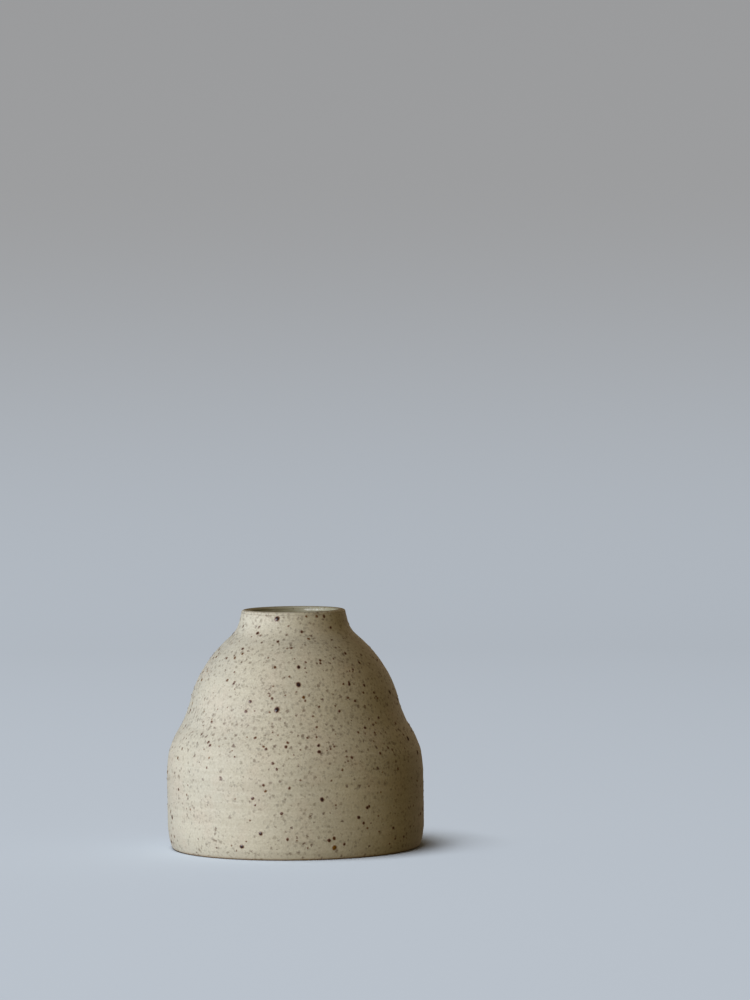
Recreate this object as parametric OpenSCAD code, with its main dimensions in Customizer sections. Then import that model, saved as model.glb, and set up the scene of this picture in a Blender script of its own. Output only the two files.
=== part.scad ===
// Ceramic bud vase, thrown on the wheel in speckled stoneware: a straight belly, a soft
// waist, a domed shoulder and a short open neck. A satin matte glaze coats the outside,
// and a glossy liner glaze coats the inside and rolls over the lip.
// Origin: centre of the foot, in the plane that the vase stands on. +Z is up. Millimetres.

/* [Silhouette] */
// Overall height, from the foot to the top of the lip
vase_h = 80; // [76:1:90]
// Diameter of the foot edge, where the wall meets the table
foot_d = 83.2; // [78:0.2:85]
// Diameter of the straight belly
belly_d = 86.4; // [85:0.2:92]
// Diameter of the soft waist above the belly
waist_d = 70.8; // [66:0.2:76]
// Diameter of the dome, where the wall starts to close in
dome_d = 63.2; // [58:0.2:65]
// Outside diameter at the root of the neck
neck_d = 36.3; // [35:0.1:40]
// Outside diameter of the lip
lip_d = 34.8; // [34:0.1:38]

/* [Wall] */
// Whole wall at the belly, with both glazes
belly_wall = 4.6; // [3.5:0.1:6]
// Thickness of the floor, from the table to the glazed floor inside
floor_h = 6; // [4:0.5:9]
// Radius of the curve between the floor and the wall inside
floor_curve_r = 10; // [6:0.5:12]

/* [Mouth] */
// Diameter of the straight throat inside the neck
throat_d = 29.6; // [28:0.1:31]
// Depth of the straight throat, from the top of the lip
throat_depth = 4.3; // [3:0.1:5]
// Height of the rounded top of the lip
lip_round_h = 0.8; // [0.5:0.1:0.9]

/* [Foot] */
// Diameter of the trimmed hollow under the foot
hollow_d = 66; // [40:1:70]
// Depth of that hollow at its centre
hollow_h = 1.2; // [0.5:0.1:2]
// Bevel that breaks the lower edge of the foot
edge_break = 0.25; // [0.1:0.05:0.25]
// Height of the strip of bare clay below the matte glaze
bare_h = 0.4; // [0.3:0.1:2]

/* [Glazes] */
// Thickness of the matte glaze outside
matte_t = 0.4; // [0.3:0.05:0.6]
// Thickness of the liner glaze at the lip
liner_lip_t = 0.35; // [0.3:0.05:0.5]
// Thickness of the liner glaze on the floor, where it pools
liner_floor_t = 0.7; // [0.5:0.05:1]
// How far down from the top of the lip the liner glaze ends, on the outside
roll_over = 1; // [1:0.1:4]

/* [Hidden] */
$fn = 128;

// Vertical distance between the points of the wall's outline
outline_step = 1.25;
// Height over which the inside evens out the slope of the outside
inside_reach = 2.5;
// Points on the floor curve, on the lip and on the hollow under the foot
curve_points = 10;

// Driving places on the outside, each [height, radius]
foot = [0, foot_d / 2];
belly_low = [0.11 * vase_h, belly_d / 2];
belly_top = [0.3 * vase_h, belly_d / 2];
waist = [0.6 * vase_h, waist_d / 2];
dome = [0.73 * vase_h, dome_d / 2];
neck = [0.95 * vase_h, neck_d / 2];
lip = [vase_h, lip_d / 2];

// A place between a and b: share_h of the way up, share_r of the way across
function between(a, b, share_h, share_r) =
    [a.x + share_h * (b.x - a.x), a.y + share_r * (b.y - a.y)];

// The outside wall passes through these places, from the foot to the lip
stations = [
    foot,
    between(foot, belly_low, 0.33, 0.67),   // rounded heel
    belly_low,
    belly_top,
    between(belly_top, waist, 0.29, 0.065), // top of the belly rolls in
    between(belly_top, waist, 0.54, 0.32),
    between(belly_top, waist, 0.79, 0.755),
    waist,
    between(waist, dome, 0.48, 0.36),
    dome,
    between(dome, neck, 0.31, 0.26),        // dome turns over into the shoulder
    between(dome, neck, 0.6, 0.59),
    between(dome, neck, 0.8, 0.88),         // shoulder sweeps up into the neck
    neck,
    lip
];

// Slope between station i and the next one, in mm of radius per mm of height
function chord(i) =
    (stations[i + 1].y - stations[i].y) / (stations[i + 1].x - stations[i].x);

// Slope at station i that keeps the curve from overshooting its stations
function station_slope(i) =
    i == 0 ? chord(0) :
    i == len(stations) - 1 ? chord(i - 1) :
    let (below = chord(i - 1), above = chord(i))
    let (span_b = stations[i].x - stations[i - 1].x)
    let (span_a = stations[i + 1].x - stations[i].x)
    below * above <= 0 ? 0 :
    3 * (span_b + span_a) / ((2 * span_a + span_b) / below + (span_a + 2 * span_b) / above);

// Number of the station at or below height z
function station_below(z, i = 0) =
    i >= len(stations) - 2 || z <= stations[i + 1].x ? i : station_below(z, i + 1);

// Outside radius at height z: a cubic from station to station
function outer_r(z) =
    let (i = station_below(z))
    let (span = stations[i + 1].x - stations[i].x)
    let (t = (z - stations[i].x) / span)
    (2 * pow(t, 3) - 3 * pow(t, 2) + 1) * stations[i].y
    + (pow(t, 3) - 2 * pow(t, 2) + t) * span * station_slope(i)
    + (3 * pow(t, 2) - 2 * pow(t, 3)) * stations[i + 1].y
    + (pow(t, 3) - pow(t, 2)) * span * station_slope(i + 1);

// Horizontal width of a layer 1 mm thick that follows the outside at height z. The slope
// is taken over reach above and below: the inside follows the outside more softly.
function lean(z, reach = 0.1) =
    let (slope = (outer_r(z + reach) - outer_r(z - reach)) / (2 * reach))
    sqrt(1 + pow(slope, 2));

lip_z = vase_h - lip_round_h;
throat_z = vase_h - throat_depth;
throat_r = throat_d / 2;
curve_z = floor_h + floor_curve_r;
roll_z = vase_h - roll_over;

// Thickness of the whole wall: thinner as it rises, until it meets the straight throat
throat_wall = (outer_r(throat_z) - throat_r) / lean(throat_z, inside_reach);
function wall(z) = belly_wall + (throat_wall - belly_wall) * z / throat_z;

// Thickness of the liner glaze: thinner as it rises
function liner_t(z) =
    liner_floor_t + (liner_lip_t - liner_floor_t) * (z - floor_h) / (vase_h - floor_h);

// Radius of the glazed inside at height z, from the top of the floor curve to the throat
function inner_r(z) = outer_r(z) - wall(z) * lean(z, inside_reach);

// Heights from a to b, about outline_step apart
function heights(a, b) =
    let (count = ceil((b - a) / outline_step))
    [for (i = [0 : count]) a + (b - a) * i / count];

// Heights of the outline's points outside. The clay and the glazes share them, so that
// the glazes lie on the clay exactly.
rings = concat([edge_break], heights(bare_h, roll_z), [lip_z]);

// Outlines, as [radius, height] points. covered is 0 on the glazed surface, and 1 on the
// clay beneath the glaze.
function outside(a, b, covered) =
    [for (z = rings) if (z >= a && z <= b) [outer_r(z) - covered * matte_t * lean(z), z]];

function inside(covered) = [
    [0, floor_h - covered * liner_t(floor_h)],
    for (i = [0 : curve_points])
        let (turn = 90 * i / curve_points)
        let (grow = covered * liner_t(curve_z - floor_curve_r * cos(turn)))
        [
            inner_r(curve_z) - floor_curve_r + (floor_curve_r + grow) * sin(turn),
            curve_z - (floor_curve_r + grow) * cos(turn)
        ],
    for (z = heights(curve_z + outline_step, throat_z))
        [inner_r(z) + covered * liner_t(z) * lean(z, inside_reach), z],
    [throat_r + covered * liner_t(lip_z), lip_z]
];

// Rounded top of the lip, from the outside to the inside
function lip_top(covered) =
    let (out_r = outer_r(lip_z) - covered * matte_t * lean(lip_z))
    let (in_r = throat_r + covered * liner_t(lip_z))
    [for (i = [1 : curve_points - 1])
        let (turn = 180 * i / curve_points)
        [
            (out_r + in_r) / 2 + (out_r - in_r) / 2 * cos(turn),
            lip_z + (lip_round_h - covered * liner_lip_t) * sin(turn)
        ]];

// Hollow under the foot, from its edge to its centre: flat in the middle
function underside() =
    [for (i = [curve_points : -1 : 0])
        let (share = i / curve_points)
        [hollow_d / 2 * share, hollow_h * (1 - pow(share, 4))]];

function reversed(points) = [for (i = [len(points) - 1 : -1 : 0]) points[i]];

// Thrown and trimmed clay body: floor, wall, neck and lip in one fired piece
module stoneware_body() {
    color([0.66, 0.50, 0.36])
        rotate_extrude()
            polygon(concat(
                underside(),
                inside(1),
                reversed(lip_top(1)),
                reversed(outside(edge_break, lip_z, 1)),
                [[outer_r(0) - matte_t - edge_break, 0]]
            ));
}

// Satin matte glaze on the outside, from the bare strip at the foot to the liner glaze
module matte_glaze_coat() {
    color([0.80, 0.77, 0.69])
        rotate_extrude()
            polygon(concat(
                outside(bare_h, roll_z, 0),
                reversed(outside(bare_h, roll_z, 1))
            ));
}

// Glossy liner glaze: over the floor, up the inside, over the lip and a little way down
module liner_glaze() {
    color([0.70, 0.72, 0.66])
        rotate_extrude()
            polygon(concat(
                inside(0),
                reversed(lip_top(0)),
                reversed(outside(roll_z, lip_z, 0)),
                outside(roll_z, lip_z, 1),
                lip_top(1),
                reversed(inside(1))
            ));
}

stoneware_body();
matte_glaze_coat();
liner_glaze();
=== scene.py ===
"""Speckled stoneware bud vase: thrown clay body, satin matte glaze outside, glossy liner inside."""
import math
import random

import bpy
from mathutils import Matrix, Vector


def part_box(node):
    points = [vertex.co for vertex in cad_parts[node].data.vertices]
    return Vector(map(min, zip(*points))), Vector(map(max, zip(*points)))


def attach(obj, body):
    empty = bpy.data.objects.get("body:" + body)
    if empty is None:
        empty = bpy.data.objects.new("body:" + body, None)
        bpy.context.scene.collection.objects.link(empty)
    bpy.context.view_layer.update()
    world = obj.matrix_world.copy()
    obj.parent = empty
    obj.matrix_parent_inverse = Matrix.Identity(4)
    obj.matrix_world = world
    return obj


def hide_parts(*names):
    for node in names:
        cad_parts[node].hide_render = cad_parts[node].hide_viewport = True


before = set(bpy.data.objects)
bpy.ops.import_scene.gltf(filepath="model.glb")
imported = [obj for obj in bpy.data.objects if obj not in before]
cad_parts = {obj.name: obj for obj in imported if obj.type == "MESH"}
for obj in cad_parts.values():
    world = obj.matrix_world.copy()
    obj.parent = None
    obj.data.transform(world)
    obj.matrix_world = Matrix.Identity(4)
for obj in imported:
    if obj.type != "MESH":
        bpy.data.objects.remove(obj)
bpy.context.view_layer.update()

MM = 0.001
TURN = 2 * math.pi
SEGMENTS = 256              # steps of one turn of the wheel
WALL_STEP = 0.5 * MM        # height between rings on a wall that shows
HIDDEN_STEP = 2.5 * MM      # the same where one layer lies against another


# ------------------------------------------------------------ sizes, from the CAD nodes

def rings_of(node, pick, low, high):
    """(height, radius) of the CAD node's rings between two heights, from the bottom up.
    pick is max for the outermost ring at each height, and min for the innermost."""
    rings = {}
    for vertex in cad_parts[node].data.vertices:
        height = round(vertex.co.z, 6)
        if low <= height <= high:
            radius = math.hypot(vertex.co.x, vertex.co.y)
            rings[height] = pick(rings.get(height, radius), radius)
    return sorted(rings.items())


def radius_at(rings, z):
    """Radius at height z, straight from ring to ring."""
    if z <= rings[0][0]:
        return rings[0][1]
    for (z0, r0), (z1, r1) in zip(rings, rings[1:]):
        if z <= z1:
            return r0 + (r1 - r0) * (z - z0) / (z1 - z0)
    return rings[-1][1]


def evened(rings, z, reach):
    """The same, averaged over reach above and below, as a rib evens out wet clay."""
    reach = max(0, min(reach, z - rings[0][0], rings[-1][0] - z))
    samples = [radius_at(rings, z + reach * share / 4) for share in range(-4, 5)]
    return sum(samples) / len(samples)


LIP_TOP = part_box("liner_glaze")[1].z
LIP_ROUND = 0.8 * MM                        # height of the rounded top of the lip
LIP_Z = LIP_TOP - LIP_ROUND
ROLL_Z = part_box("matte_glaze_coat")[1].z    # the liner glaze ends here, outside
BARE_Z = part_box("matte_glaze_coat")[0].z    # the matte glaze ends here, above bare clay
MATTE_T = 0.4 * MM                          # thickness of the glaze outside
LINER_T = 0.5 * MM                          # and inside
LINER_LIP_T = 0.35 * MM                     # and where it rolls over the lip
FLOOR_Z = 6 * MM                            # glazed floor inside
FLOOR_CURVE = 10 * MM                       # radius of the curve from floor to wall
HOLLOW_R = 33 * MM                          # trimmed hollow under the foot
HOLLOW_H = 1.2 * MM
EDGE_BREAK = 0.25 * MM                      # bevel round the lower edge of the foot

OUTSIDE = (rings_of("matte_glaze_coat", max, BARE_Z, ROLL_Z)
           + rings_of("liner_glaze", max, ROLL_Z + 0.01 * MM, LIP_Z + 0.01 * MM))
INSIDE = rings_of("liner_glaze", min, FLOOR_Z + FLOOR_CURVE + MM, LIP_Z + 0.01 * MM)
FOOT_R = rings_of("stoneware_body", max, -MM, 0.01 * MM)[0][1]
LIP_OUTER = OUTSIDE[-1][1]                  # radius of the lip, where its rounded top starts


def ripple(z, rings):
    """Rings left by fingers or by the trimming tool: a few waves of different pitch."""
    return sum(deep * math.sin(TURN * (z / MM / pitch + shift)) for deep, pitch, shift in rings)


# Each wave: how deep it is, its pitch in mm, and how far along it starts, as a share
OUTSIDE_RINGS = [(0.028 * MM, 6.3, 0.1), (0.018 * MM, 3.7, 0.4), (0.01 * MM, 1.9, 0.8)]
INSIDE_RINGS = [(0.16 * MM, 7.1, 0.0), (0.08 * MM, 4.3, 0.85)]
FLOOR_RINGS = [(0.14 * MM, 5.6, 0.2), (0.06 * MM, 3.1, 0.5)]
TRIMMING_RINGS = [(0.05 * MM, 2.3, 0.3), (0.03 * MM, 1.4, 0.7)]


def outside_r(z):
    """Radius of the glazed outside."""
    return evened(OUTSIDE, z, 1.6 * MM) + ripple(z, OUTSIDE_RINGS)


def inside_r(z):
    """Radius of the glazed inside, above the floor curve. The rings fade out at the lip."""
    fade = min(1, (LIP_Z - z) / (1.5 * MM))
    return evened(INSIDE, z, 1.8 * MM) + fade * ripple(z, INSIDE_RINGS)


def lean(radius, z):
    """Horizontal width of a layer 1 thick that follows a wall."""
    reach = 0.2 * MM
    return math.hypot(1, (radius(z + reach) - radius(z - reach)) / (2 * reach))


def steps(start, end, step):
    """Numbers from start to end, about step apart."""
    count = max(1, round(abs(end - start) / step))
    return [start + (end - start) * i / count for i in range(count + 1)]


# ------------------------------------------------------------ sections, as (radius, height)

def lip_points(covered, count):
    """Rounded top of the lip from the outside to the inside. covered is how deep the layer
    lies under the glaze."""
    out_r = outside_r(LIP_Z) - covered
    in_r = inside_r(LIP_Z) + covered
    middle = (out_r + in_r) / 2
    half = (out_r - in_r) / 2
    return [(middle + half * math.cos(math.pi * i / count),
             LIP_Z + (LIP_ROUND - covered) * math.sin(math.pi * i / count))
            for i in range(count + 1)]


def floor_points(covered, step):
    """Floor and floor curve inside, from the centre out and up to the wall. The rings fade
    out at the curve."""
    curve_z = FLOOR_Z + FLOOR_CURVE
    curve_r = inside_r(curve_z) - FLOOR_CURVE
    reach = FLOOR_CURVE + covered
    flat = [(r, FLOOR_Z - covered + ripple(r, FLOOR_RINGS) * min(1, (curve_r - r) / (4 * MM)))
            for r in steps(0, curve_r, step)]
    turns = steps(0, TURN / 4, step / FLOOR_CURVE)
    curve = [(curve_r + reach * math.sin(turn), curve_z - reach * math.cos(turn))
             for turn in turns[1:-1]]
    return flat + curve


def inner_wall(covered, step):
    """Wall inside, from the top of the floor curve to the lip."""
    heights = steps(FLOOR_Z + FLOOR_CURVE, LIP_Z, step)[:-1]
    return [(inside_r(z) + covered * lean(inside_r, z), z) for z in heights]


def outer_wall(covered, low, high, step):
    """Wall outside, from low to high."""
    return [(outside_r(z) - covered * lean(outside_r, z), z) for z in steps(low, high, step)]


def matte_glaze_section():
    """A closed band. Its lower edge is rounded and hangs a little lower than the CAD's, where
    the melted glaze stopped."""
    bead = [(outside_r(BARE_Z) - 0.25 * MATTE_T, BARE_Z - 0.12 * MM),
            (outside_r(BARE_Z) - 0.7 * MATTE_T, BARE_Z - 0.1 * MM)]
    face = outer_wall(0, BARE_Z, ROLL_Z, WALL_STEP)
    back = outer_wall(MATTE_T, BARE_Z, ROLL_Z, HIDDEN_STEP)
    return bead[::-1] + face + back[::-1] + bead[-1:]


def liner_glaze_section():
    """Floor, wall, lip and the roll-over on the face; the clay side behind it."""
    face = (floor_points(0, WALL_STEP * 1.5) + inner_wall(0, WALL_STEP)
            + lip_points(0, 20)[::-1] + outer_wall(0, ROLL_Z, LIP_Z, WALL_STEP)[-2::-1])
    back = (outer_wall(LINER_LIP_T, ROLL_Z, LIP_Z, WALL_STEP)[:-1]
            + lip_points(LINER_LIP_T, 10)
            + inner_wall(LINER_T, HIDDEN_STEP)[::-1] + floor_points(LINER_T, HIDDEN_STEP)[::-1])
    return face + back


def clay_section():
    """Trimmed hollow, foot ring, wall, lip and floor of the clay itself."""
    hollow = [(r, HOLLOW_H * (1 - (r / HOLLOW_R) ** 4) + ripple(r, TRIMMING_RINGS)
               * min(1, (HOLLOW_R - r) / (3 * MM))) for r in steps(0, HOLLOW_R, WALL_STEP)]
    ring = [(r, 0) for r in steps(HOLLOW_R + 0.5 * MM, FOOT_R, MM)]
    bevel = [(FOOT_R + 0.68 * EDGE_BREAK, 0.4 * EDGE_BREAK), (FOOT_R + EDGE_BREAK, EDGE_BREAK)]
    wall = outer_wall(MATTE_T, BARE_Z, LIP_Z, HIDDEN_STEP)[:-1]
    return (hollow + ring + bevel + wall + lip_points(MATTE_T, 10)
            + inner_wall(LINER_T, HIDDEN_STEP)[::-1] + floor_points(LINER_T, HIDDEN_STEP)[::-1])


# ------------------------------------------------------------ modelling

SPOT_SPREAD = 0.72          # radius of a spot's stained edge, for each mm across its dark part
SPOT_HEIGHT = 0.16          # height of a bead, as a share of that radius
SPOT_OVAL = 0.85            # how wide a spot is, as a share of its length
SPOT_GAP = 0.008 * MM       # how far its edge stands proud of the glaze
BELLY_TOP = 34              # mm up, above which the spots lie closer
CROWDED_SIDE = (20, 52)     # where they lie closest: degrees round from the front, mm up
CROWD_REACH = (40, 18)      # how far round and how far up or down that patch reaches
FRONT_HALF = 68             # degrees either side of the front, where the large are listed one by one
OUT_OF_ROUND = 0.25 * MM    # the most that the pot is nudged in x and in y
CAGE_W = 90 * MM            # width of the lattice that nudges it


def throw(name, section):
    """Draws the section from point to point with a single vertex, and spins it round."""
    bpy.ops.object.select_all(action="DESELECT")
    bpy.ops.mesh.primitive_plane_add(size=MM, location=(section[0][0], 0, section[0][1]))
    piece = bpy.context.object
    piece.name = piece.data.name = name
    bpy.ops.object.transform_apply(location=True, rotation=True, scale=True)
    bpy.ops.object.mode_set(mode="EDIT")
    bpy.ops.mesh.select_all(action="SELECT")
    bpy.ops.mesh.merge(type="CENTER")
    for here, there in zip(section, section[1:]):
        move = (there[0] - here[0], 0, there[1] - here[1])
        bpy.ops.mesh.extrude_vertices_move(TRANSFORM_OT_translate={"value": move})
    bpy.ops.mesh.select_all(action="SELECT")
    bpy.ops.mesh.spin(steps=SEGMENTS, angle=TURN, center=(0, 0, 0), axis=(0, 0, 1))
    bpy.ops.mesh.select_all(action="SELECT")
    bpy.ops.mesh.remove_doubles(threshold=0.002 * MM)
    bpy.ops.mesh.normals_make_consistent(inside=False)
    bpy.ops.object.mode_set(mode="OBJECT")
    bpy.ops.object.shade_smooth()
    return piece


def spot_pattern():
    """One iron spot 1 across its radius: a low bead whose attribute "melt" runs from 0 at
    the edge, where it meets the glaze, to 1 at its middle."""
    # radius, height and melt of each ring, from the edge inwards
    rings = [(1.0, 0.0, 0.0), (0.8, 0.04, 0.25), (0.58, 0.25, 0.7), (0.3, 0.75, 1.0)]
    bpy.ops.object.select_all(action="DESELECT")
    bpy.ops.mesh.primitive_circle_add(vertices=12, radius=1, fill_type="NGON")
    spot = bpy.context.object
    bpy.ops.object.mode_set(mode="EDIT")
    bpy.ops.mesh.select_all(action="SELECT")
    for (wide, low, _), (narrow, high, _) in zip(rings, rings[1:]):
        bpy.ops.mesh.inset(thickness=0, depth=0)
        bpy.ops.transform.resize(value=(narrow / wide, narrow / wide, 1))
        bpy.ops.transform.translate(value=(0, 0, high - low))
    bpy.ops.mesh.poke(offset=0.25)
    bpy.ops.object.mode_set(mode="OBJECT")
    melt = spot.data.attributes.new("melt", "FLOAT", "POINT")
    for vertex in spot.data.vertices:
        distance = math.hypot(vertex.co.x, vertex.co.y)
        melt.data[vertex.index].value = next(
            (m for r, _, m in rings if distance > r - 0.05), 1.0)
    return spot


def press_onto_glaze(spot, angle, height, radius, lift, twist):
    """Wraps a flat spot onto the outside of the pot. angle is in degrees round from the
    front, and lift is how far its middle stands proud. The spot is an oval, turned by twist."""
    for vertex in spot.data.vertices:
        x, y, proud = vertex.co
        side = radius * (x * math.cos(twist) - SPOT_OVAL * y * math.sin(twist))
        up = radius * (x * math.sin(twist) + SPOT_OVAL * y * math.cos(twist))
        z = height + up / lean(outside_r, height)
        turn = math.radians(angle) + side / outside_r(height)
        r = outside_r(z) + SPOT_GAP + proud * lift
        vertex.co = (r * math.sin(turn), -r * math.cos(turn), z)


# The largest spots, listed one by one: degrees round from the front, mm up, mm across, and
# how amber. The rest of the pot is sown at random.
LARGE_SPOTS = [
    (-18, 77.8, 1.9, 0), (35, 78.3, 1.2, 0), (14, 78.5, 0.9, 0.4), (26, 78.4, 1.1, 0.4),
    (41, 74.5, 1.1, 0), (-38, 73, 1.3, 0), (-14, 70.5, 1.2, 0), (-2, 68.5, 1.0, 0),
    (-44, 68, 1.2, 0), (8, 73.5, 1.1, 0), (8, 64, 0.9, 0), (18, 63.5, 1.0, 0),
    (3, 62.5, 1.4, 0), (-12.5, 62.5, 1.1, 0.2), (2.5, 57, 1.8, 0), (34, 56.5, 1.2, 0),
    (49, 63, 1.2, 0), (40.5, 61, 1.0, 0), (-9.5, 49, 2.0, 0), (-38, 57.5, 1.0, 0),
    (-25, 51.5, 1.3, 0), (33, 41, 1.0, 0), (44, 43, 1.0, 0), (43, 40.5, 0.9, 0),
    (11, 37.5, 1.2, 0), (11, 35.5, 1.3, 0), (-19.5, 40, 1.1, 0.2), (-13.5, 36.5, 1.1, 0),
    (-43.5, 37, 1.2, 0), (-10, 32, 1.1, 0), (18.5, 37, 0.9, 0), (11.5, 20, 1.5, 0),
    (33, 16.5, 1.2, 0), (28.5, 13.5, 1.3, 0), (31, 11.5, 1.1, 0), (-15.5, 9, 1.4, 0),
    (-24.5, 4.5, 1.5, 0), (14.5, 6.5, 1.3, 0), (17, 4, 1.7, 1), (21.5, 5, 1.1, 0),
    (-19, 20.5, 1.2, 0), (-64, 21.5, 1.1, 0), (6, 40, 0.9, 0),
]


def sow_spots(count, smallest, largest, front_clear):
    """Random spots over the whole outside: most of them small, fewer on the belly, and more
    on one side of the dome. The front, where the largest are listed one by one, can be left
    clear. Sizes are in mm across."""
    sown = []
    while len(sown) < count:
        angle = dice.uniform(-180, 180)
        height = dice.uniform(2, 77.5)
        crowd = 0.8 if height > BELLY_TOP else 0.45
        away = math.hypot((angle - CROWDED_SIDE[0]) / CROWD_REACH[0],
                          (height - CROWDED_SIDE[1]) / CROWD_REACH[1])
        crowd += 1.1 * max(0, 1 - away)
        size = smallest + (largest - smallest) * dice.random() ** 2
        amber = dice.random() ** 4
        # a wider ring of the pot has more room for spots
        fits = dice.random() * 60 * MM < outside_r(height * MM) * crowd
        if fits and not (front_clear and abs(angle) < FRONT_HALF):
            sown.append((angle, height, size, amber))
    return sown


def iron_spots(places):
    """All the spots as one piece, each a copy of the pattern with its own mesh."""
    pattern = spot_pattern()
    copies = []
    for angle, height, across, amber in places:
        spot = pattern.copy()
        spot.data = pattern.data.copy()
        bpy.context.scene.collection.objects.link(spot)
        radius = SPOT_SPREAD * across * MM
        press_onto_glaze(spot, angle, height * MM, radius, SPOT_HEIGHT * radius,
                         dice.uniform(0, TURN))
        melt = spot.data.attributes["melt"].data
        tint = spot.data.attributes.new("amber", "FLOAT", "POINT").data
        melted = min(1, 0.16 + 0.56 * across)   # a small spot has melted less
        for i in range(len(melt)):
            melt[i].value *= melted
            tint[i].value = amber
        copies.append(spot)
    bpy.data.objects.remove(pattern)
    bpy.ops.object.select_all(action="DESELECT")
    for spot in copies:
        spot.select_set(True)
    bpy.context.view_layer.objects.active = copies[0]
    bpy.ops.object.join()
    bpy.ops.object.shade_smooth()
    copies[0].name = copies[0].data.name = "iron_spots"
    return copies[0]


def wobble(pieces):
    """A hand-thrown pot is never quite round: one loose lattice nudges all the layers alike.
    The foot stays flat."""
    bpy.ops.object.select_all(action="DESELECT")
    bpy.ops.object.add(type="LATTICE", location=(0, 0, LIP_TOP / 2))
    cage = bpy.context.object
    cage.scale = (CAGE_W, CAGE_W, LIP_TOP)
    cage.data.points_u = cage.data.points_v = cage.data.points_w = 5
    for point in cage.data.points:
        nudge = Vector((dice.uniform(-1, 1), dice.uniform(-1, 1), 0)) * OUT_OF_ROUND / CAGE_W
        point.co_deform = point.co_deform + nudge
    for piece in pieces:
        bpy.ops.object.select_all(action="DESELECT")
        piece.select_set(True)
        bpy.context.view_layer.objects.active = piece
        modifier = piece.modifiers.new("wobble", "LATTICE")
        modifier.object = cage
        bpy.ops.object.modifier_apply(modifier=modifier.name)
    bpy.data.objects.remove(cage)


# ------------------------------------------------------------ materials

def srgb(code):
    """Linear colour of an sRGB hex value."""
    parts = [int(code[i:i + 2], 16) / 255 for i in (0, 2, 4)]
    linear = [p / 12.92 if p <= 0.04045 else ((p + 0.055) / 1.055) ** 2.4 for p in parts]
    return (*linear, 1)


def add(tree, kind, settings=None, inputs=None, output=0):
    """Adds a node with its settings and its inputs, each a value or a link, and gives the
    output asked for."""
    made = tree.nodes.new(kind)
    for name, value in (settings or {}).items():
        setattr(made, name, value)
    for name, value in (inputs or {}).items():
        if isinstance(value, bpy.types.NodeSocket):
            tree.links.new(value, made.inputs[name])
        else:
            made.inputs[name].default_value = value
    return made.outputs[output] if made.outputs else made


# A Mix of colours has its factor at input 0, its colours at 6 and 7, and its result at
# output 2. A Mix of numbers has its factor at input 0 and its numbers at 2 and 3.
RGB = {"data_type": "RGBA"}
TIMES = {"operation": "MULTIPLY"}
PLUS = {"operation": "ADD"}
MINUS = {"operation": "SUBTRACT"}
SOFT = {"interpolation_type": "SMOOTHSTEP"}


def new_material(name):
    """A material with an empty node tree, and that tree."""
    material = bpy.data.materials.new(name)
    material.use_nodes = True
    material.node_tree.nodes.clear()
    return material, material.node_tree


def finish_surface(tree, height, depth_mm, inputs):
    """Joins colour, gloss and a relief of depth_mm into one surface."""
    relief = add(tree, "ShaderNodeBump", None, {"Height": height, "Distance": depth_mm * MM})
    surface = add(tree, "ShaderNodeBsdfPrincipled", None, {"Normal": relief, **inputs})
    add(tree, "ShaderNodeOutputMaterial", None, {"Surface": surface})


def iron_grains(tree, place, cell_mm, radii_mm, edge_mm, absent):
    """Grains of iron whose radii lie between two, one in some of the cells of a pattern: how
    much of a grain there is here, and a random number for each grain. absent is the share of
    cells that have none."""
    colour = add(tree, "ShaderNodeTexVoronoi", None,
                 {"Vector": place, "Scale": 1 / (cell_mm * MM)}, "Color")
    distance = colour.node.outputs["Distance"]
    chance = add(tree, "ShaderNodeSeparateColor", None, {"Color": colour}, "Red")
    radius = add(tree, "ShaderNodeMapRange", None,
                 {"Value": chance.node.outputs["Green"],
                  "To Min": radii_mm[0] / cell_mm, "To Max": radii_mm[1] / cell_mm})
    inside = add(tree, "ShaderNodeMath", MINUS, {0: radius, 1: distance})
    grain = add(tree, "ShaderNodeMapRange", SOFT, {"Value": inside, "From Max": edge_mm / cell_mm})
    present = add(tree, "ShaderNodeMath", {"operation": "GREATER_THAN"}, {0: chance, 1: absent})
    return add(tree, "ShaderNodeMath", TIMES, {0: grain, 1: present}), chance.node.outputs["Blue"]


# Grains under the glaze: size of the pattern's cells in mm, palest, darkest, and colour. A
# deep grain is a pale grey smudge, and a shallow one is brown.
GRAINS = [(1.2, 0.1, 0.45, "66615b"), (1.5, 0.12, 0.55, "69604f"), (1.8, 0.15, 0.7, "5f4d40"),
          (2.3, 0.25, 0.9, "573e32")]


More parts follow.
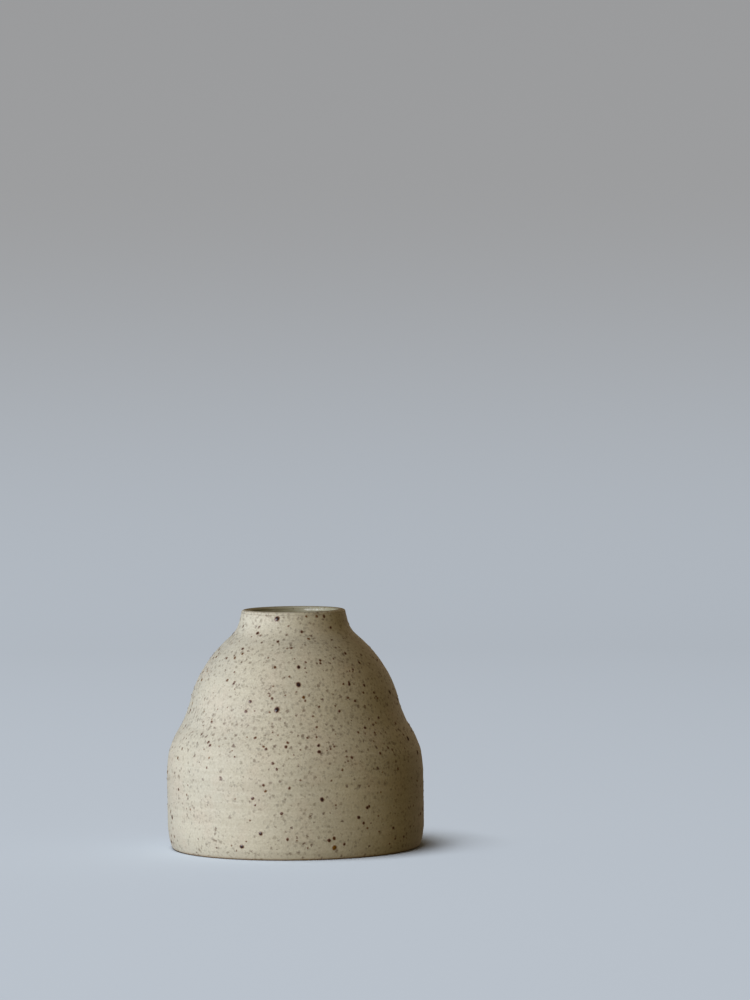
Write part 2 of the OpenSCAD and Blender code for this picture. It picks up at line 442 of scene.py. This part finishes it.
def oatmeal_glaze(tree, place):
    """The glaze outside: its colour, roughness and relief here."""
    z = add(tree, "ShaderNodeSeparateXYZ", None, {"Vector": place}, "Z")

    # broad patches where the glaze lies thicker or thinner
    thick = add(tree, "ShaderNodeTexNoise", None, {"Vector": place, "Scale": 1 / (17 * MM)})
    thick = add(tree, "ShaderNodeMapRange", None, {"Value": thick, "From Min": 0.35, "From Max": 0.65})
    colour = add(tree, "ShaderNodeMix", RGB, {0: thick, 6: srgb("cbccbf"), 7: srgb("c5c7bc")}, 2)
    blush = add(tree, "ShaderNodeTexNoise", None, {"Vector": place, "Scale": 1 / (9 * MM)})
    blush = add(tree, "ShaderNodeMapRange", None,
                {"Value": blush, "From Min": 0.5, "From Max": 0.75, "To Max": 0.5})
    colour = add(tree, "ShaderNodeMix", RGB, {0: blush, 6: colour, 7: srgb("cbc5b9")}, 2)

    # turning lines: noise drawn out round the pot, a millimetre or so apart
    flat = add(tree, "ShaderNodeMapping", None, {"Vector": place, "Scale": (0.05, 0.05, 1)})
    lines = add(tree, "ShaderNodeTexNoise", None,
                {"Vector": flat, "Scale": 1 / (1.3 * MM), "Detail": 3, "Roughness": 0.6})
    dull = add(tree, "ShaderNodeMapRange", None,
               {"Value": lines, "From Min": 0.35, "From Max": 0.7, "To Max": 0.16})
    colour = add(tree, "ShaderNodeMix", RGB, {0: dull, 6: colour, 7: srgb("8f8976")}, 2)

    # fine mottling of the eggshell surface
    mottle = add(tree, "ShaderNodeTexNoise", None,
                 {"Vector": place, "Scale": 1 / (0.7 * MM), "Detail": 3, "Roughness": 0.65})
    dull = add(tree, "ShaderNodeMapRange", None,
               {"Value": mottle, "From Min": 0.38, "From Max": 0.66, "To Max": 0.28})
    colour = add(tree, "ShaderNodeMix", RGB, {0: dull, 6: colour, 7: srgb("908c7e")}, 2)

    # ragged grains of iron under the glaze, crowded in some patches, above the belly, and
    # most of all on one side of the dome
    waver = add(tree, "ShaderNodeTexNoise", None, {"Vector": place, "Scale": 1 / (0.7 * MM)}, "Color")
    shift = add(tree, "ShaderNodeVectorMath", {"operation": "SCALE"}, {0: waver, "Scale": 1.4 * MM})
    ragged = add(tree, "ShaderNodeVectorMath", PLUS, {0: place, 1: shift})
    crowd = add(tree, "ShaderNodeTexNoise", None, {"Vector": place, "Scale": 1 / (12 * MM)})
    higher = add(tree, "ShaderNodeMapRange", None,
                 {"Value": z, "From Min": 20 * MM, "From Max": 42 * MM, "To Max": 0.14})
    crowd = add(tree, "ShaderNodeMath", PLUS, {0: crowd, 1: higher})
    away = add(tree, "ShaderNodeVectorMath", {"operation": "DISTANCE"},
               {0: place, 1: (14 * MM, -31 * MM, 48 * MM)}, "Value")
    side = add(tree, "ShaderNodeMapRange", None,
               {"Value": away, "From Max": 40 * MM, "To Min": 0.32, "To Max": 0})
    crowd = add(tree, "ShaderNodeMath", PLUS, {0: crowd, 1: side})
    absent = add(tree, "ShaderNodeMapRange", None,
                 {"Value": crowd, "From Min": 0.4, "From Max": 0.84, "To Min": 0.74, "To Max": 0})
    for cell_mm, palest, darkest, code in GRAINS:
        grain, tone = iron_grains(tree, ragged, cell_mm, (0.34, 0.8), 0.42, absent)
        tone = add(tree, "ShaderNodeMapRange", None,
                   {"Value": tone, "To Min": palest, "To Max": darkest})
        grain = add(tree, "ShaderNodeMath", TIMES, {0: grain, 1: tone})
        colour = add(tree, "ShaderNodeMix", RGB, {0: grain, 6: colour, 7: srgb(code)}, 2)

    # the glaze thins at the very foot and lets the toasted clay through
    edge = add(tree, "ShaderNodeMath", {"operation": "MULTIPLY_ADD"}, {0: mottle, 1: 0.8 * MM, 2: z})
    toast = add(tree, "ShaderNodeMapRange", SOFT,
                {"Value": edge, "From Min": 0.7 * MM, "From Max": 1.5 * MM, "To Min": 0.25, "To Max": 0})
    colour = add(tree, "ShaderNodeMix", RGB, {0: toast, 6: colour, 7: srgb("94704b")}, 2)

    rough = add(tree, "ShaderNodeMapRange", None,
                {"Value": mottle, "From Min": 0.3, "From Max": 0.7, "To Min": 0.55, "To Max": 0.68})
    rough = add(tree, "ShaderNodeMath", {"operation": "MULTIPLY_ADD"}, {0: grain, 1: -0.25, 2: rough})
    relief = add(tree, "ShaderNodeMath", {"operation": "MULTIPLY_ADD"}, {0: lines, 1: 0.7, 2: mottle})
    relief = add(tree, "ShaderNodeMath", {"operation": "MULTIPLY_ADD"}, {0: grain, 1: -0.6, 2: relief})
    return colour, rough, relief


def satin_matte_glaze():
    """Matte stoneware glaze, fired: a soft broad sheen over a fine eggshell surface."""
    material, tree = new_material("satin matte oatmeal glaze")
    place = add(tree, "ShaderNodeTexCoord", output="Object")
    colour, rough, relief = oatmeal_glaze(tree, place)
    finish_surface(tree, relief, 0.09, {"Base Color": colour, "Roughness": rough, "IOR": 1.45})
    return material


def melted_iron():
    """Iron grains of the clay, melted out through the glaze: a dark, smooth and glassy bead
    with a brown stain round it. The bead's middle is black in a large spot, brown in a
    small one, and clear amber in a few."""
    material, tree = new_material("melted iron spot")
    place = add(tree, "ShaderNodeTexCoord", output="Object")
    colour, rough, relief = oatmeal_glaze(tree, place)
    melt = add(tree, "ShaderNodeAttribute", {"attribute_name": "melt"}, output="Fac")
    amber = add(tree, "ShaderNodeAttribute", {"attribute_name": "amber"}, output="Fac")
    uneven = add(tree, "ShaderNodeTexNoise", None, {"Vector": place, "Scale": 1 / (0.4 * MM)})
    uneven = add(tree, "ShaderNodeMapRange", None,
                 {"Value": uneven, "From Min": 0.3, "From Max": 0.7, "To Min": -0.14, "To Max": 0.14})
    melt = add(tree, "ShaderNodeMath", PLUS, {0: melt, 1: uneven})
    stain = add(tree, "ShaderNodeMapRange", SOFT,
                {"Value": melt, "From Min": 0.04, "From Max": 0.45, "To Max": 0.75})
    dark = add(tree, "ShaderNodeMapRange", SOFT, {"Value": melt, "From Min": 0.3, "From Max": 0.8})
    core = add(tree, "ShaderNodeMapRange", SOFT, {"Value": melt, "From Min": 0.65, "From Max": 1})
    rim = add(tree, "ShaderNodeMix", RGB, {0: amber, 6: srgb("5c3d30"), 7: srgb("7a5a22")}, 2)
    middle = add(tree, "ShaderNodeMix", RGB, {0: amber, 6: srgb("221d23"), 7: srgb("6a4a16")}, 2)
    colour = add(tree, "ShaderNodeMix", RGB, {0: stain, 6: colour, 7: srgb("78604f")}, 2)
    colour = add(tree, "ShaderNodeMix", RGB, {0: dark, 6: colour, 7: rim}, 2)
    colour = add(tree, "ShaderNodeMix", RGB, {0: core, 6: colour, 7: middle}, 2)
    gloss = add(tree, "ShaderNodeMapRange", None, {"Value": dark, "To Min": 1, "To Max": 0.4})
    rough = add(tree, "ShaderNodeMath", TIMES, {0: rough, 1: gloss})
    finish_surface(tree, relief, 0.03, {"Base Color": colour, "Roughness": rough, "IOR": 1.5})
    return material


def glossy_liner_glaze():
    """Clear grey-green liner glaze, fired: wet-looking, with a faint ripple and iron specks.
    The matte glaze overlaps it at the outer edge of the lip, where the two melt together."""
    material, tree = new_material("glossy liner glaze")
    place = add(tree, "ShaderNodeTexCoord", output="Object")
    pool = add(tree, "ShaderNodeTexNoise", None, {"Vector": place, "Scale": 1 / (9 * MM)})
    pool = add(tree, "ShaderNodeMapRange", None, {"Value": pool, "From Min": 0.35, "From Max": 0.65})
    liner = add(tree, "ShaderNodeMix", RGB, {0: pool, 6: srgb("a5a692"), 7: srgb("b1b3a4")}, 2)
    grain, tone = iron_grains(tree, place, 1.8, (0.3, 0.55), 0.25, 0.5)
    tone = add(tree, "ShaderNodeMapRange", None, {"Value": tone, "To Min": 0.2, "To Max": 0.9})
    grain = add(tree, "ShaderNodeMath", TIMES, {0: grain, 1: tone})
    liner = add(tree, "ShaderNodeMix", RGB, {0: grain, 6: liner, 7: srgb("4a3d2e")}, 2)
    ripples = add(tree, "ShaderNodeTexNoise", None, {"Vector": place, "Scale": 1 / (2.2 * MM)})

    matte, matte_rough, matte_relief = oatmeal_glaze(tree, place)
    z = add(tree, "ShaderNodeSeparateXYZ", None, {"Vector": place}, "Z")
    level = add(tree, "ShaderNodeVectorMath", TIMES, {0: place, 1: (1, 1, 0)})
    radius = add(tree, "ShaderNodeVectorMath", {"operation": "LENGTH"}, {0: level}, "Value")
    uneven = add(tree, "ShaderNodeTexNoise", None, {"Vector": place, "Scale": 1 / (1.5 * MM)})
    radius = add(tree, "ShaderNodeMath", {"operation": "MULTIPLY_ADD"},
                 {0: uneven, 1: 0.8 * MM, 2: radius})
    outer = add(tree, "ShaderNodeMapRange", SOFT,
                {"Value": radius, "From Min": LIP_OUTER - 0.7 * MM, "From Max": LIP_OUTER + 0.2 * MM})
    at_lip = add(tree, "ShaderNodeMath", {"operation": "GREATER_THAN"}, {0: z, 1: ROLL_Z - 0.1 * MM})
    over = add(tree, "ShaderNodeMath", TIMES, {0: outer, 1: at_lip})
    colour = add(tree, "ShaderNodeMix", RGB, {0: over, 6: liner, 7: matte}, 2)
    rough = add(tree, "ShaderNodeMix", None, {0: over, 2: 0.12, 3: matte_rough})
    relief = add(tree, "ShaderNodeMix", None, {0: over, 2: ripples, 3: matte_relief})
    finish_surface(tree, relief, 0.05, {"Base Color": colour, "Roughness": rough, "IOR": 1.5})
    return material


def toasted_stoneware():
    """Bare stoneware, fired: warm brown, dry, with grog and dark iron grains."""
    material, tree = new_material("bare toasted stoneware")
    place = add(tree, "ShaderNodeTexCoord", output="Object")
    patches = add(tree, "ShaderNodeTexNoise", None,
                  {"Vector": place, "Scale": 1 / (7 * MM), "Detail": 3})
    patches = add(tree, "ShaderNodeMapRange", None,
                  {"Value": patches, "From Min": 0.35, "From Max": 0.65})
    colour = add(tree, "ShaderNodeMix", RGB, {0: patches, 6: srgb("a3845f"), 7: srgb("b39672")}, 2)
    grog = add(tree, "ShaderNodeTexNoise", None,
               {"Vector": place, "Scale": 1 / (0.4 * MM), "Detail": 3, "Roughness": 0.7})
    dull = add(tree, "ShaderNodeMapRange", None,
               {"Value": grog, "From Min": 0.4, "From Max": 0.75, "To Max": 0.4})
    colour = add(tree, "ShaderNodeMix", RGB, {0: dull, 6: colour, 7: srgb("7d6044")}, 2)
    grain, tone = iron_grains(tree, place, 1.8, (0.25, 0.5), 0.15, 0.5)
    grain = add(tree, "ShaderNodeMath", TIMES, {0: grain, 1: tone})
    colour = add(tree, "ShaderNodeMix", RGB, {0: grain, 6: colour, 7: srgb("2e2119")}, 2)
    finish_surface(tree, grog, 0.08, {"Base Color": colour, "Roughness": 0.85, "IOR": 1.5})
    return material


def paper_with_painted_shade_high_up():
    """Matt paper of the studio, pale blue-grey, with painted shade that makes it darker and greyer high
    up.
    """
    material, tree = new_material("studio paper with painted shade high up")
    place = add(tree, "ShaderNodeTexCoord", output="Object")
    z = add(tree, "ShaderNodeSeparateXYZ", None, {"Vector": place}, "Z")
    # painted shade: the colour turns darker and greyer with height, up the wall
    high = add(tree, "ShaderNodeMapRange", SOFT, {"Value": z, "From Max": 0.3})
    colour = add(tree, "ShaderNodeMix", RGB, {0: high, 6: srgb("b6c1ce"), 7: srgb("a4a8ad")}, 2)
    surface = add(tree, "ShaderNodeBsdfDiffuse", None, {"Color": colour})
    add(tree, "ShaderNodeOutputMaterial", None, {"Surface": surface})
    return material


def brown_card():
    """Brown card, which gives the light that a wooden table would."""
    material, tree = new_material("brown card")
    surface = add(tree, "ShaderNodeBsdfDiffuse", None, {"Color": srgb("332a21")})
    add(tree, "ShaderNodeOutputMaterial", None, {"Surface": surface})
    return material


# ------------------------------------------------------------ the vase

dice = random.Random(86)
matte_glaze = throw("satin_glaze", matte_glaze_section())
liner_glaze = throw("liner", liner_glaze_section())
clay_body = throw("clay_body", clay_section())
spots = iron_spots(LARGE_SPOTS + sow_spots(95, 1, 1.9, True) + sow_spots(360, 0.65, 1.25, False))
wobble([matte_glaze, liner_glaze, clay_body, spots])

PIECES = [
    (matte_glaze, satin_matte_glaze(), "matte_glaze", "matte_glaze_coat"),
    (liner_glaze, glossy_liner_glaze(), "glossy_glaze", "liner_glaze"),
    (clay_body, toasted_stoneware(), "toasted_clay", "stoneware_body"),
    (spots, melted_iron(), "matte_glaze", None),
]
for piece, material, slot, node in PIECES:
    piece.data.materials.clear()
    piece.data.materials.append(material)
    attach(piece, "root")
    if node:
        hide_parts(node)


# ------------------------------------------------------------ studio

FLOOR_R = 0.95      # radius of the flat floor
COVE_R = 1.2        # radius of the curve from the floor to the wall
WALL_H = 2.5        # height of the top of the wall
CARD_R = 0.6        # radius of the card under the floor
LENS = 155.4        # focal length in mm, for a sensor whose long side is 36 mm
CAMERA_PLACE = (0, -1450 * MM, 168 * MM)
PAN, TILT, ROLL = -1.1, -2.04, -0.6     # degrees, positive to the left, up and anticlockwise


def round_sweep():
    """Floor that curves up into a wall all round, so that every side has the same backdrop."""
    cove = [(FLOOR_R + COVE_R * math.sin(turn), COVE_R * (1 - math.cos(turn)))
            for turn in steps(0, TURN / 4, TURN / 96)]
    sweep = throw("studio_sweep", [(0, 0), (FLOOR_R / 2, 0), *cove, (FLOOR_R + COVE_R, WALL_H)])
    sweep.data.materials.append(paper_with_painted_shade_high_up())
    # the vase gets no light back from it, as if it stood in a large dim room
    sweep.visible_diffuse = sweep.visible_glossy = sweep.visible_shadow = False
    return sweep


def table_card():
    """Unseen card under the floor: it shades the foot and gives a warm light from below."""
    bpy.ops.object.select_all(action="DESELECT")
    bpy.ops.mesh.primitive_circle_add(vertices=48, radius=CARD_R, fill_type="NGON",
                                      location=(0, 0, -MM))
    card = bpy.context.object
    card.name = "table_card"
    card.data.materials.append(brown_card())
    card.visible_camera = card.visible_glossy = False
    return card


def soft_light(name, degrees, distance, height, size, watts, code, things, shines=False):
    """A soft panel, degrees round from the front, that faces the middle of the vase and
    lights only these things. shines says whether gloss reflects it."""
    light = bpy.data.lights.new(name, "AREA")
    light.shape = "RECTANGLE"
    light.size, light.size_y = size
    light.energy = watts
    light.color = srgb(code)[:3]
    lamp = bpy.data.objects.new(name, light)
    bpy.context.scene.collection.objects.link(lamp)
    turn = math.radians(degrees)
    lamp.location = (distance * math.sin(turn), -distance * math.cos(turn), height)
    aim = Vector((0, 0, LIP_TOP / 2)) - lamp.location
    lamp.rotation_euler = aim.to_track_quat("-Z", "Y").to_euler()
    lamp.visible_glossy = shines
    lamp.light_linking.receiver_collection = bpy.data.collections.new(name)
    for thing in things:
        lamp.light_linking.receiver_collection.objects.link(thing)


sweep = round_sweep()
vase = [piece[0] for piece in PIECES]
on_table = vase + [table_card()]
# name, degrees round, distance and height in metres, size, watts, colour and what it lights
soft_light("window", -63, 1.2, 0.28, (1.56, 0.56), 19.2, "f3f6ff", on_table, shines=True)
soft_light("warm_fill", -22, 1.2, 0.14, (1.0, 0.3), 4, "ffde90", vase)
soft_light("back_light", 158, 1.2, 0.3, (0.9, 0.5), 7, "ffe6cc", vase)
soft_light("sweep_wash", -63, 1.6, 4.8, (3, 3), 270, "ffffff", [sweep])

world = bpy.data.worlds.new("studio")
bpy.context.scene.world = world
world.use_nodes = True
background = world.node_tree.nodes["Background"]
background.inputs["Color"].default_value = srgb("ffd69e")
background.inputs["Strength"].default_value = 0.12
bpy.context.scene.view_settings.view_transform = "Standard"

camera_data = bpy.data.cameras.new("camera")
camera_data.lens = LENS
camera_data.clip_end = 50
camera = bpy.data.objects.new("camera", camera_data)
bpy.context.scene.collection.objects.link(camera)
camera.matrix_world = (
    Matrix.Translation(CAMERA_PLACE)
    @ Matrix.Rotation(math.radians(PAN), 4, "Z")
    @ Matrix.Rotation(math.radians(90 + TILT), 4, "X")
    @ Matrix.Rotation(math.radians(ROLL), 4, "Z"))
bpy.context.scene.camera = camera
